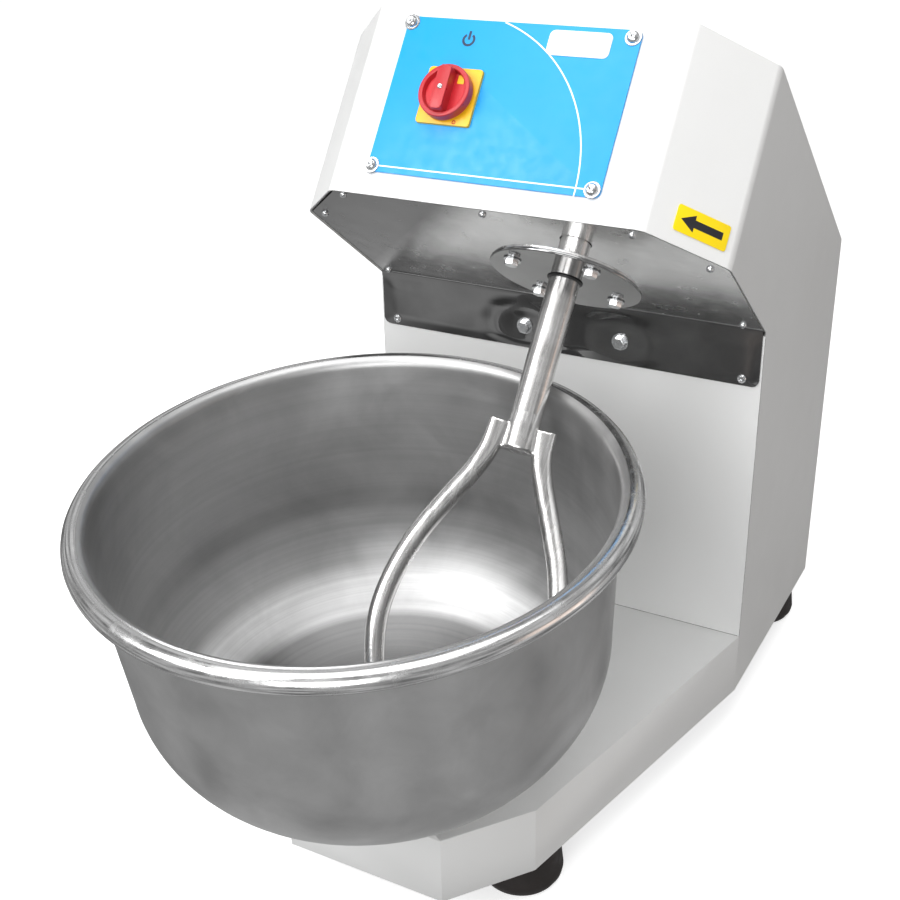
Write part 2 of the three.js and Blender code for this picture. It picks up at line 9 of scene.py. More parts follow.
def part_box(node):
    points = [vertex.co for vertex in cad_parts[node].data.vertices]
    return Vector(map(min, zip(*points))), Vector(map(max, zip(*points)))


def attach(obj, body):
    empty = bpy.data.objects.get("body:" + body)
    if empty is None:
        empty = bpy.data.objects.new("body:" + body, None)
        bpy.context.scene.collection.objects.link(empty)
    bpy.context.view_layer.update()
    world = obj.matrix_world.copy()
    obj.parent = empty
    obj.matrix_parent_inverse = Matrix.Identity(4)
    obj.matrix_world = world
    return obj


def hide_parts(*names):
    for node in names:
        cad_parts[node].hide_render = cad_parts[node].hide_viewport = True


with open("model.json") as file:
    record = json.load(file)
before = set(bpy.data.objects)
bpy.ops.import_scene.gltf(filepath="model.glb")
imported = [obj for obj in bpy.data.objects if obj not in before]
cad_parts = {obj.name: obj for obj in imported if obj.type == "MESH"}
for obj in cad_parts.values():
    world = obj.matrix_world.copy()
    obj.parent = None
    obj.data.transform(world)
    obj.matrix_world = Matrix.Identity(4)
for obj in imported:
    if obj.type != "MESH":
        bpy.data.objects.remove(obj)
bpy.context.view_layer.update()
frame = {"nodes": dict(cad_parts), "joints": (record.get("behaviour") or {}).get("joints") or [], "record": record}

# Shapes are written in millimetres in the frame of the body they ride on, as in the CAD model
MM = 0.001
JOINTS = {joint["name"]: joint for joint in frame["joints"]}

# Driving dimensions: the housing
HEAD_PITCH = math.radians(38)
FRONT_LEAN = math.radians(36)
FOOT_HEIGHT = 45
NECK_HEIGHT = 418
HALF_WIDTH = 215
CHAMFER_ACROSS = 62
CHAMFER_ALONG = 68
SOFFIT_LENGTH = 235
FRONT_HEIGHT = 186
COLUMN_DEPTH = 287
DECK_HEIGHT = 70
HOUSING_STEEL = 2
HOUSING_FOLD = 5
# The bent sheet: reach is the length of its slope, edge its half width, low the height of its lower edge
SOFFIT = {
    "steel": 1.5, "gap": 0.3, "recess": 1, "inset": 3, "reach": 229, "edge": 212.7, "low": 360, "round": 8,
    "bend": 3, "columns": 90,
}
# Edge radii of the CAD nodes, and of all the other nodes
EDGE_RADII = {"base_shell": 1.6, "head_top_cover": 0.6}
SMALL_EDGE = 0.3
FEET = ["front_left", "front_right", "rear_left", "rear_right"]

# The bowl and the agitator
BOWL = {"radius": 213, "wall": 1.5, "taper": 9, "straight": 136, "depth": 266, "flat": 40, "lip": 10.2}
BOWL_STEPS = 160
BEAD = {"radius": 9.2, "reach": 10.6, "height": -1}
CENTRE_DISC = {"radius": 56, "edge": 1.5, "height": 3.1}
HUB_BORE = 12.8
DISC = {
    "radius": 69, "top": -32, "thickness": 3, "edge": 0.9, "flange": 67, "flange_thickness": 2.5,
    "bolt_circle": 52.5, "bolts": 4,
}
# Where the shaft goes through the slope of the bent sheet, and the radius of the hole
SHAFT_ON_SOFFIT = (76, 181)
SHAFT_HOLE = 15
SHAFT_RADIUS = 12.5
TUBE_RADIUS = 14
TUBE_FOOT = -160
STUB_FOOT = -194
TINE_RADIUS = 9
FORK_PLANE = math.radians(22)
# Route of a tine: distance from the fork's axis and height
TINE_ROUTE = [
    (21, -171), (21.5, -180), (24, -198), (32, -220), (44, -245), (62, -285), (72.5, -324), (75, -362),
    (67, -399), (54, -428), (46, -442),
]

# The control panel
SWITCH = (-54.6, 98.5)
SWITCH_PLATE = {"width": 54, "round": 2.5, "thickness": 3.3}
KNOB_STANDOFF = 6
# Yellow marks on the knob: name, middle, width and height
KNOB_MARKS = [("left", 1.5, 21.4, 6.4, 3.2), ("right", 12.4, 12.6, 6.4, 8)]
PANEL = {"width": 229, "height": 152, "x": -4.6, "y": 98, "low": 0.3, "high": 2.3}
PANEL_ARC = {"x": -69, "y": 25, "radius": 156, "start": -1.5, "end": 72}
PANEL_LINE = [(-108, 27.6), (0, 28.2), (96, 28.6)]
LINE_WIDTH = 1.3
PRINT_DEPTH = 0.2
LABEL = {"width": 59, "height": 23.5, "x": 54.8, "y": 157.5}
POWER_MARK = (-52.5, 154.6)
SIGN = (54, 23)

# Fasteners
PANEL_SCREWS = [(-115, 27.5), (102, 28.5), (-115, 168), (102.5, 167)]
SOFFIT_SCREWS = [(-143.5, 225), (-197, 165), (-0.4, 221), (140, 219), (195, 160), (-202, 9), (194, 10)]
SPLASH_SCREWS = [(-195.5, 367.5), (195.5, 367.5)]
SPLASH_BOLTS = {"splash_bolt_left": (-40, 384), "splash_bolt_right": (67, 384)}
COLUMN_SCREW = (81, 147)
REAR_SCREWS = [(side * 203, height) for side in (-1, 1) for height in (14, 190, 372)]

# Tone of the bowl's inside, with a painted highlight ring round the corner of its floor, from its axis, 0, to
# INSIDE_REACH metres away, 1
INSIDE_REACH = 0.2
INSIDE_PAINTED_RING_TONES = [
    (0.0, 0.11), (0.27, 0.12), (0.30, 0.18), (0.46, 0.14), (0.70, 0.19), (0.79, 0.74), (0.86, 0.8),
    (0.92, 0.46), (1.0, 0.46),
]

# Brightness of the room from below, 0, to above, 1, and its factor where the noise round it is 0 to 1
ROOM_HEIGHTS = [(0.0, 0.46), (0.40, 0.5), (0.50, 0.36), (0.62, 0.5), (0.8, 0.6), (1.0, 0.65)]
ROOM_BANDS = [(0.40, 0.35), (0.60, 1.5)]
FLOOR_SIZE = 30

# The camera stands at the front right, above the bowl
CAMERA = {"at": (0.53486, -1.04651, 0.94029), "lens": 54.195, "sensor": 36.0}
CAMERA_AXES = [(0.8795, 0.4755, -0.0197), (-0.1939, 0.3959, 0.8976), (0.4346, -0.7856, 0.4404)]


def link(thing):
    bpy.context.scene.collection.objects.link(thing)


def add_camera():
    data = bpy.data.cameras.new("camera")
    data.lens = CAMERA["lens"]
    data.sensor_width = CAMERA["sensor"]
    data.clip_end = 50
    camera = bpy.data.objects.new("camera", data)
    turn = Matrix(CAMERA_AXES).transposed().to_quaternion().to_matrix().to_4x4()
    camera.matrix_world = Matrix.Translation(CAMERA["at"]) @ turn
    link(camera)
    bpy.context.scene.camera = camera


# Frames of the bodies. Every axis lies in the YZ plane, so x is the same in all of them


def place_at(origin, up):
    z = Vector(up).normalized()
    x = Vector((1, 0, 0))
    turn = Matrix((x, z.cross(x), z)).transposed().to_4x4()
    return Matrix.Translation(origin) @ turn @ Matrix.Scale(MM, 4)


def joint_place(name, side=1):
    joint = JOINTS[name]
    return place_at(joint["pos_m"], side * Vector(joint["axis"]))


def shifted(place, x=0, y=0, z=0):
    return place @ Matrix.Translation((x, y, z))


bowl_place = joint_place("bowl_spin")
agitator_place = joint_place("agitator_spin")
switch_place = joint_place("switch_turn", -1)
front_place = shifted(switch_place, -SWITCH[0], -SWITCH[1])
column_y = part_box("column_front_panel")[0].y
housing_place = Matrix.Translation((0, column_y, FOOT_HEIGHT * MM)) @ Matrix.Scale(MM, 4)
column_place = place_at((0, column_y, FOOT_HEIGHT * MM), (0, -1, 0))
soffit_place = place_at(
    (0, column_y, (FOOT_HEIGHT + NECK_HEIGHT) * MM),
    (0, -math.sin(HEAD_PITCH), -math.cos(HEAD_PITCH)),
)
# Along the soffit's slope, from the bend to the front, and out of it, in the YZ plane
SOFFIT_RUN = Vector((-math.cos(HEAD_PITCH), math.sin(HEAD_PITCH)))
SOFFIT_OUTWARD = Vector((-math.sin(HEAD_PITCH), -math.cos(HEAD_PITCH)))


def rear_place(x, z):
    """Frame on the outer face of the rear panel, at x and z in metres."""
    return place_at((x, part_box("rear_panel")[1].y, z), (0, 1, 0))


# Shape helpers, on bmesh


def lathe(profile, steps=96):
    """Turns (radius, height) points about Z. The profile starts and ends on the axis, or closes."""
    shape = bmesh.new()
    closed = profile[0] == profile[-1]
    rings = []
    for radius, height in profile[:-1] if closed else profile:
        if radius < 1e-6:
            rings.append([shape.verts.new((0, 0, height))] * steps)
            continue
        ring = []
        for i in range(steps):
            angle = 2 * math.pi * i / steps
            ring.append(shape.verts.new((radius * math.cos(angle), radius * math.sin(angle), height)))
        rings.append(ring)
    if closed:
        rings.append(rings[0])
    for low, high in zip(rings, rings[1:]):
        for i in range(steps):
            j = (i + 1) % steps
            corners = list(dict.fromkeys((low[i], low[j], high[j], high[i])))
            if len(corners) > 2:
                shape.faces.new(corners)
    bmesh.ops.recalc_face_normals(shape, faces=shape.faces)
    return shape


def arc(x, y, radius, start, end, count=8):
    """Points on an arc; start and end are in degrees."""
    points = []
    for i in range(count + 1):
        angle = math.radians(start + (end - start) * i / count)
        points.append((x + radius * math.cos(angle), y + radius * math.sin(angle)))
    return points


def rounded_rectangle(width, height, radius, x=0, y=0):
    right = width / 2 - radius
    top = height / 2 - radius
    corners = [(right, top, 0), (-right, top, 90), (-right, -top, 180), (right, -top, 270)]
    outline = []
    for corner_x, corner_y, start in corners:
        outline += arc(x + corner_x, y + corner_y, radius, start, start + 90)
    return outline


def slab(outline, low, high, edge=0.0):
    """A flat plate with the given outline; its upper edge is rounded by edge."""
    shape = bmesh.new()
    bottom = [shape.verts.new((x, y, low)) for x, y in outline]
    top = [shape.verts.new((x, y, high)) for x, y in outline]
    shape.faces.new(bottom[::-1])
    shape.faces.new(top)
    rim = []
    for i in range(len(outline)):
        j = (i + 1) % len(outline)
        shape.faces.new((bottom[i], bottom[j], top[j], top[i]))
        rim.append(shape.edges.get((top[i], top[j])))
    if edge:
        bmesh.ops.bevel(shape, geom=rim, offset=edge, segments=3, profile=0.5, affect="EDGES")
    bmesh.ops.recalc_face_normals(shape, faces=shape.faces)
    return shape


def ribbon(points, width, low, high):
    """A flat strip of even width along an open line."""
    left = []
    right = []
    for i, point in enumerate(points):
        before = Vector(points[max(i - 1, 0)])
        after = Vector(points[min(i + 1, len(points) - 1)])
        along = (after - before).normalized()
        side = Vector((-along.y, along.x)) * (width / 2)
        left.append((point[0] + side.x, point[1] + side.y))
        right.append((point[0] - side.x, point[1] - side.y))
    return slab(right + left[::-1], low, high)


def sweep(path, section, normal=(0, 1, 0)):
    """Carries a section along a path that lies in the plane square to normal. section(t) gives points."""
    shape = bmesh.new()
    normal = Vector(normal)
    rings = []
    for i, point in enumerate(path):
        before = path[max(i - 1, 0)]
        after = path[min(i + 1, len(path) - 1)]
        side = (after - before).normalized().cross(normal)
        outline = section(i / (len(path) - 1))
        rings.append([shape.verts.new(point + side * u + normal * v) for u, v in outline])
    for low, high in zip(rings, rings[1:]):
        for i in range(len(low)):
            j = (i + 1) % len(low)
            shape.faces.new((low[i], low[j], high[j], high[i]))
    shape.faces.new(rings[0][::-1])
    shape.faces.new(rings[-1])
    bmesh.ops.recalc_face_normals(shape, faces=shape.faces)
    return shape


def together(*shapes):
    whole = bmesh.new()
    for shape in shapes:
        mesh = bpy.data.meshes.new("part")
        shape.to_mesh(mesh)
        shape.free()
        whole.from_mesh(mesh)
        bpy.data.meshes.remove(mesh)
    return whole


def moved(shape, x=0, y=0, z=0):
    bmesh.ops.translate(shape, verts=shape.verts, vec=(x, y, z))
    return shape


def mesh_at(name, shape, place):
    """Turns a shape in a body's millimetres into a mesh in metres."""
    mesh = bpy.data.meshes.new(name)
    shape.to_mesh(mesh)
    shape.free()
    mesh.transform(place)
    return mesh


def add_piece(name, shape, place, slot, stands_for=(), body="frame", look=None, sharp=35):
    """Adds a piece with its slot's look or its own, smooth except at edges of more than sharp degrees."""
    mesh = mesh_at(name, shape, place)
    mesh.shade_smooth()
    mesh.set_sharp_from_angle(angle=math.radians(sharp))
    mesh.materials.append(look or LOOKS[slot])
    piece = bpy.data.objects.new(name, mesh)
    link(piece)
    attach(piece, body)
    if stands_for:
        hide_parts(*stands_for)
    return piece


def apply_modifiers(piece):
    graph = bpy.context.evaluated_depsgraph_get()
    piece.data = bpy.data.meshes.new_from_object(piece.evaluated_get(graph))
    piece.modifiers.clear()


def cut_out(piece, shape, place):
    """Takes the volume of a closed shape out of the piece."""
    cutter = bpy.data.objects.new("cutter", mesh_at("cutter", shape, place))
    link(cutter)
    boolean = piece.modifiers.new("cut", "BOOLEAN")
    boolean.operation = "DIFFERENCE"
    boolean.solver = "EXACT"
    boolean.object = cutter
    apply_modifiers(piece)
    bpy.data.objects.remove(cutter)


def melt(piece, voxel, rounds):
    """Welds overlapping bodies of a piece into one skin with small fillets."""
    remesh = piece.modifiers.new("remesh", "REMESH")
    remesh.mode = "VOXEL"
    remesh.voxel_size = voxel * MM
    remesh.use_smooth_shade = True
    smooth = piece.modifiers.new("smooth", "SMOOTH")
    smooth.factor = 0.5
    smooth.iterations = rounds
    apply_modifiers(piece)
    piece.data.shade_smooth()


# Materials


class Nodes:
    """The nodes of a material or a world."""

    def __init__(self, tree):
        self.tree = tree

    def node(self, kind, **settings):
        node = self.tree.nodes.new(kind)
        for key, value in settings.items():
            setattr(node, key, value)
        return node

    def wire(self, source, target):
        self.tree.links.new(source, target)

    def noise(self, source, scale, detail=3.0, rough=0.5, distortion=0.0):
        noise = self.node("ShaderNodeTexNoise")
        noise.inputs["Scale"].default_value = scale
        noise.inputs["Detail"].default_value = detail
        noise.inputs["Roughness"].default_value = rough
        noise.inputs["Distortion"].default_value = distortion
        self.wire(source, noise.inputs["Vector"])
        return noise.outputs["Fac"]

    def spread(self, factor, low, high, start=0.3, end=0.7):
        """Maps start to end on to low to high; the defaults are the middle of a noise."""
        fit = self.node("ShaderNodeMapRange")
        fit.inputs["From Min"].default_value = start
        fit.inputs["From Max"].default_value = end
        fit.inputs["To Min"].default_value = low
        fit.inputs["To Max"].default_value = high
        self.wire(factor, fit.inputs["Value"])
        return fit.outputs["Result"]

    def ramp(self, factor, stops):
        """Greys by these (position, grey) stops."""
        ramp = self.node("ShaderNodeValToRGB")
        elements = ramp.color_ramp.elements
        while len(elements) < len(stops):
            elements.new(0.5)
        for element, (position, grey) in zip(elements, stops):
            element.position = position
            element.color = (grey, grey, grey, 1)
        self.wire(factor, ramp.inputs["Fac"])
        return ramp.outputs["Color"]

    def times(self, colour, factor):
        """The colour, made lighter or darker by the factor."""
        product = self.node("ShaderNodeMix", data_type="RGBA", blend_type="MULTIPLY")
        product.inputs["Factor"].default_value = 1
        self.wire(colour, product.inputs["A"])
        self.wire(factor, product.inputs["B"])
        return product.outputs["Result"]


class Look(Nodes):
    """A node material under construction: a principled shader and what feeds it."""

    def __init__(self, name, colour, metallic=0.0, roughness=0.5):
        self.material = bpy.data.materials.new(name)
        self.material.use_nodes = True
        super().__init__(self.material.node_tree)
        self.shader = self.tree.nodes["Principled BSDF"]
        self.colour = colour
        self.shader.inputs["Base Color"].default_value = (*colour, 1)
        self.shader.inputs["Metallic"].default_value = metallic
        self.shader.inputs["Roughness"].default_value = roughness
        self.roughness = roughness
        self.normal = None

    def vector(self, operation):
        return self.node("ShaderNodeVectorMath", operation=operation)

    def coordinates(self):
        return self.node("ShaderNodeTexCoord").outputs["Object"]

    def turned(self, place):
        """Coordinates (distance from the axis, height, 0) of a turned piece, for rings and spun lines."""
        axis = (place.to_3x3() @ Vector((0, 0, 1))).normalized()
        offset = self.vector("SUBTRACT")
        self.wire(self.coordinates(), offset.inputs[0])
        offset.inputs[1].default_value = place.translation
        height = self.vector("DOT_PRODUCT")
        self.wire(offset.outputs[0], height.inputs[0])
        height.inputs[1].default_value = axis
        along = self.vector("SCALE")
        along.inputs[0].default_value = axis
        self.wire(height.outputs["Value"], along.inputs["Scale"])
        across = self.vector("SUBTRACT")
        self.wire(offset.outputs[0], across.inputs[0])
        self.wire(along.outputs[0], across.inputs[1])
        distance = self.vector("LENGTH")
        self.wire(across.outputs[0], distance.inputs[0])
        combined = self.node("ShaderNodeCombineXYZ")
        self.wire(distance.outputs["Value"], combined.inputs[0])
        self.wire(height.outputs["Value"], combined.inputs[1])
        return combined.outputs[0]

    def stretched(self, source, scale):
        mapping = self.node("ShaderNodeMapping")
        mapping.inputs["Scale"].default_value = scale
        self.wire(source, mapping.inputs["Vector"])
        return mapping.outputs["Vector"]

    def vary_roughness(self, factor, amount):
        low = max(self.roughness - amount, 0.01)
        self.wire(self.spread(factor, low, self.roughness + amount), self.shader.inputs["Roughness"])

    def vary_colour(self, factor, other, start=0.3, end=0.7):
        blend = self.node("ShaderNodeMix", data_type="RGBA")
        blend.inputs["A"].default_value = (*self.colour, 1)
        blend.inputs["B"].default_value = (*other, 1)
        self.wire(self.spread(factor, 0, 1, start, end), blend.inputs["Factor"])
        self.wire(blend.outputs["Result"], self.shader.inputs["Base Color"])

    def bump(self, factor, depth, strength):
        """Raises the surface by up to depth metres."""
        bump = self.node("ShaderNodeBump")
        bump.inputs["Distance"].default_value = depth
        bump.inputs["Strength"].default_value = strength
        self.wire(factor, bump.inputs["Height"])
        if self.normal:
            self.wire(self.normal, bump.inputs["Normal"])
        self.normal = bump.outputs["Normal"]
        self.wire(self.normal, self.shader.inputs["Normal"])


def shade(grey, warm=0.0):
    return (grey * (1 + warm), grey, grey * (1 - warm))


def white_paint():
    look = Look("white_powder_coat", (0.80, 0.805, 0.80), roughness=0.34)
    here = look.coordinates()
    look.vary_colour(look.noise(here, 6, 4), (0.77, 0.772, 0.765))
    look.vary_roughness(look.noise(here, 40, 3), 0.06)
    look.bump(look.noise(here, 520, 2, 0.4), 0.00012, 0.55)
    look.bump(look.noise(here, 9, 2), 0.0012, 0.25)
    return look.material


def bowl_steel():
    look = Look("spun_steel_bowl", shade(0.52), metallic=1.0, roughness=0.4)
    here = look.coordinates()
    rings = look.turned(bowl_place)
    spun = look.noise(look.stretched(rings, (260, 260, 1)), 1, 5, 0.65)
    mottle = look.noise(here, 16, 5, 0.6, 0.4)
    look.vary_colour(mottle, shade(0.64))
    look.vary_roughness(look.noise(here, 24, 4), 0.07)
    look.bump(spun, 0.00012, 0.7)
    look.bump(look.noise(here, 11, 2), 0.0022, 0.35)
    return look.material


def polished_steel(name, grey, roughness, wave=0.0):
    look = Look(name, shade(grey), metallic=1.0, roughness=roughness)
    here = look.coordinates()
    look.vary_colour(look.noise(here, 30, 4), shade(grey * 0.86))
    look.vary_roughness(look.noise(here, 60, 5, 0.6), roughness * 0.5)
    look.bump(look.noise(here, 900, 2), 0.00002, 0.3)
    if wave:
        look.bump(look.noise(look.stretched(here, (1.0, 1.5, 2.2)), 9, 1, 0.3), wave, 0.6)
    return look.material


def brushed_tube():
    look = Look("brushed_tube_steel", shade(0.72, 0.008), metallic=1.0, roughness=0.24)
    here = look.coordinates()
    rings = look.turned(agitator_place)
    scratches = look.noise(look.stretched(here, (190, 24, 24)), 1, 3, 0.5)
    marks = look.noise(look.stretched(rings, (900, 26, 1)), 1, 4, 0.6)
    look.vary_colour(marks, shade(0.55, 0.02), 0.45, 0.75)
    look.vary_roughness(scratches, 0.07)
    look.bump(scratches, 0.0003, 0.4)
    look.bump(look.noise(here, 60, 2), 0.0005, 0.2)
    return look.material


def zinc():
    look = Look("bright_zinc", (0.72, 0.73, 0.74), metallic=1.0, roughness=0.22)
    here = look.coordinates()
    look.vary_colour(look.noise(here, 220, 3), (0.6, 0.61, 0.62))
    look.vary_roughness(look.noise(here, 400, 3), 0.08)
    look.bump(look.noise(here, 1500, 2), 0.00002, 0.4)
    return look.material


def moulded(name, colour, roughness, other, grain=700, depth=0.00004):
    look = Look(name, colour, roughness=roughness)
    here = look.coordinates()
    look.vary_colour(look.noise(here, 45, 4), other)
    look.vary_roughness(look.noise(here, 90, 3), roughness * 0.2)
    look.bump(look.noise(here, grain, 2), depth, 0.5)
    return look.material


def cast(name, colour, other):
    look = Look(name, colour, metallic=0.6, roughness=0.62)
    here = look.coordinates()
    look.vary_colour(look.noise(here, 70, 5), other)
    look.vary_roughness(look.noise(here, 120, 3), 0.12)
    look.bump(look.noise(here, 380, 4, 0.6), 0.0003, 0.6)
    return look.material


def painted_reflection_soffit_steel():
    """The sloping part of the bent sheet, with a painted reflection: it is darker towards its left-hand end and
    lighter towards its right.
    """
    look = Look("soffit_sheet_steel_painted_reflection", shade(0.25), metallic=1.0, roughness=0.24)
    here = look.coordinates()
    # Painted reflection: the base colour runs from dark grey to light grey across the slope
    across = look.vector("DOT_PRODUCT")
    look.wire(here, across.inputs[0])
    across.inputs[1].default_value = (1, 1.09, 0)
    look.vary_colour(across.outputs["Value"], shade(0.9), -0.06, 0.0)
    look.vary_roughness(look.noise(here, 40, 4, 0.6), 0.05)
    look.bump(look.noise(here, 14, 1, 0.3), 0.0015, 0.4)
    return look.material


def bowl_inside():
    """Spun steel with the fork's scuffs, and a painted highlight: a bright ring round the floor, and a dull
    middle.
    """
    look = Look("spun_steel_inside_painted_ring", shade(0.5), metallic=1.0, roughness=0.42)
    here = look.coordinates()
    rings = look.turned(bowl_place)
    radius = look.node("ShaderNodeSeparateXYZ")
    look.wire(rings, radius.inputs[0])
    # Painted highlight: a bright ring of tone round the corner of the floor
    painted_highlight_ring = look.ramp(look.spread(radius.outputs["X"], 0, 1, 0, INSIDE_REACH), INSIDE_PAINTED_RING_TONES)
    scuffs = look.noise(look.stretched(rings, (330, 40, 1)), 1, 6, 0.75)
    patches = look.noise(here, 13, 4, 0.6, 0.6)
    ring_and_scuffs = look.times(painted_highlight_ring, look.spread(scuffs, 0.92, 1.08, 0.35, 0.65))
    ring_scuffs_and_patches = look.times(ring_and_scuffs, look.spread(patches, 0.86, 1.12))
    look.wire(ring_scuffs_and_patches, look.shader.inputs["Base Color"])
    # Less metallic in the painted highlight ring, so that it shows as bright diffuse colour
    look.wire(look.spread(painted_highlight_ring, 1, 0.3, 0.44, 0.6), look.shader.inputs["Metallic"])
    look.vary_roughness(patches, 0.08)
    look.bump(scuffs, 0.00006, 0.5)
    return look.material


LOOKS = {
    "white_paint": white_paint(),
    "mirror_steel": polished_steel("mirror_steel_sheet", 0.22, 0.05, 0.002),
    "satin_steel": bowl_steel(),
    "shaft_steel": polished_steel("ground_shaft_steel", 0.5, 0.24),
    "zinc_fastener": zinc(),
    "frame_steel": cast("primed_frame_steel", (0.05, 0.055, 0.06), (0.035, 0.04, 0.045)),
    "cast_iron": cast("cast_iron_body", (0.06, 0.065, 0.07), (0.1, 0.1, 0.1)),
    "gearmotor_paint": moulded("gearmotor_enamel", (0.07, 0.1, 0.12), 0.4, (0.06, 0.085, 0.1), 300, 0.0001),
    "foot_rubber": moulded("foot_rubber", (0.011, 0.008, 0.007), 0.6, (0.018, 0.013, 0.012), 420, 0.0001),
    "black_plastic": moulded("black_plastic", (0.015, 0.015, 0.016), 0.45, (0.02, 0.02, 0.021)),
    "panel_blue": moulded("panel_blue_film", (0.002, 0.34, 0.80), 0.42, (0.0015, 0.33, 0.79), 900, 0.00001),
    "switch_yellow": moulded("switch_yellow", (0.9, 0.53, 0.015), 0.34, (0.86, 0.49, 0.012)),
    "switch_red": moulded("switch_red", (0.56, 0.016, 0.026), 0.32, (0.5, 0.012, 0.022)),
    "label_white": moulded("label_white", (0.86, 0.86, 0.86), 0.35, (0.83, 0.83, 0.83)),
}
SOFFIT_PAINTED_REFLECTION_STEEL = painted_reflection_soffit_steel()
INSIDE_STEEL = bowl_inside()
RIM_STEEL = polished_steel("polished_rim_steel", 0.74, 0.22, 0.0006)
DISC_STEEL = polished_steel("polished_disc_steel", 0.32, 0.09)
TUBE_STEEL = brushed_tube()
SIGN_YELLOW = moulded("sign_yellow", (0.98, 0.72, 0.0), 0.4, (0.95, 0.69, 0.0))
SIGN_BLACK = moulded("sign_black", (0.012, 0.012, 0.016), 0.45, (0.018, 0.018, 0.022))
PRINT_WHITE = moulded("print_white", (0.9, 0.93, 0.95), 0.4, (0.87, 0.9, 0.93))
PRINT_DARK = moulded("print_dark", (0.01, 0.03, 0.07), 0.4, (0.012, 0.035, 0.08))
KNOB_RIM = moulded("switch_red_rim", (0.52, 0.028, 0.036), 0.34, (0.47, 0.024, 0.032))


# CAD nodes: they all get their material, and edges with a small radius


def dress_frame():
    slots = {part["node"]: part["material_slot"] for part in frame["record"]["subparts"]}
    for name, node in frame["nodes"].items():
        node.data.materials.clear()
        node.data.materials.append(LOOKS[slots[name]])
        node.data.shade_smooth()
        if "custom_normal" in node.data.attributes:
            node.data.attributes.remove(node.data.attributes["custom_normal"])
        weld = node.modifiers.new("weld", "WELD")
        weld.merge_threshold = 0.01 * MM
        bevel = node.modifiers.new("fold", "BEVEL")
        bevel.width = EDGE_RADII.get(name, SMALL_EDGE) * MM
        bevel.segments = 3
        bevel.limit_method = "ANGLE"
        bevel.angle_limit = math.radians(25)


# Soffit and splash guard: one bent sheet, a satin slope and a mirror-like upright


def slope_stations(bend, tangent, count=44):
    """The slope, from the head's front edge to the bend. It narrows at the front, between the cheeks."""
    edge, reach = SOFFIT["edge"], SOFFIT["reach"]
    narrow = HALF_WIDTH - CHAMFER_ACROSS - SOFFIT["inset"]
    stations = []
    for i in range(count + 1):
        along = reach + (tangent - reach) * i / count
        taper = max(0, along - (reach - CHAMFER_ALONG)) / CHAMFER_ALONG
        stations.append((bend + SOFFIT_RUN * along, SOFFIT_OUTWARD, edge - taper * (edge - narrow)))
    return stations


def bend_stations(bend, tangent, turn, count=6):
    centre = bend + SOFFIT_RUN * tangent + SOFFIT_OUTWARD * SOFFIT["bend"]
    stations = []
    for i in range(1, count):
        angle = turn - turn * i / count
        outward = Vector((-math.cos(angle), -math.sin(angle)))
        stations.append((centre - outward * SOFFIT["bend"], outward, SOFFIT["edge"]))
    return stations


def upright_stations(face, top, count=16):
    """The upright, down to its rounded lower corners."""
    edge, low, rounding = SOFFIT["edge"], SOFFIT["low"], SOFFIT["round"]
    outward = Vector((-1, 0))
    stations = []
    for i in range(count + 1):
        height = top + (low + rounding - top) * i / count
        stations.append((Vector((-face, height)), outward, edge))
    for x, y in arc(0, 0, rounding, 0, -90)[1:]:
        stations.append((Vector((-face, low + rounding + y)), outward, edge - rounding + x))
    return stations


def sheet_stations():
    """Stations down the sheet in the YZ plane of the housing: (point, outward normal, half width)."""
    face = SOFFIT["gap"] + SOFFIT["steel"]
    rise = (face * math.sin(HEAD_PITCH) + SOFFIT["recess"]) / math.cos(HEAD_PITCH)
    bend = Vector((-face, NECK_HEIGHT + rise))
    turn = math.pi / 2 - HEAD_PITCH
    tangent = SOFFIT["bend"] * math.tan(turn / 2)
    slope = slope_stations(bend, tangent)
    return slope + bend_stations(bend, tangent, turn) + upright_stations(face, bend.y - tangent)


def waviness(x, z):
    """How far the upright bulges, in millimetres: its two bolts pull it in, and it waves between them."""
    wave = 0.55 + 0.3 * math.sin(x / 31 + 0.9) + 0.25 * math.sin(x / 57 - z / 23)
    for bolt_x, bolt_z in SPLASH_BOLTS.values():
        distance = math.hypot(x - bolt_x, (z - bolt_z) * 1.4)
        wave += 0.9 * math.exp(-((distance - 34) / 15) ** 2) - 0.5 * math.exp(-((distance / 22) ** 2))
    return 1.5 * wave


def sheet_rows(shape, depth):
    """Corners of one side of the sheet, row by row; depth is 0 on its outer side."""
    columns = SOFFIT["columns"]
    rows = []
    # The waves start a little below the bend and fade out towards the edges
    for point, outward, half in sheet_stations():
        hang = min(1, max(0, (NECK_HEIGHT - 2 - point.y) / 14)) if point.x > -3 else 0
        row = []
        for i in range(columns + 1):
            x = half * (2 * i / columns - 1)
            edge = min(1, (SOFFIT["edge"] - abs(x)) / 12, max(0, (point.y - SOFFIT["low"]) / 10))
            place = point + outward * (depth + waviness(x, point.y) * hang * edge)
            row.append(shape.verts.new((x, place.x, place.y)))
        rows.append(row)
    return rows


def close_sheet(shape, front, back):
    """Faces for both sides of the sheet and all round its edge."""
    columns = SOFFIT["columns"]
    last = len(front) - 1
    for r in range(last):
        for i in range(columns):
            for rows in (front, back):
                shape.faces.new((rows[r][i], rows[r][i + 1], rows[r + 1][i + 1], rows[r + 1][i]))
        for i in (0, columns):
            shape.faces.new((front[r][i], front[r + 1][i], back[r + 1][i], back[r][i]))
    for r in (0, last):
        for i in range(columns):
            shape.faces.new((front[r][i], front[r][i + 1], back[r][i + 1], back[r][i]))
    bmesh.ops.recalc_face_normals(shape, faces=shape.faces)


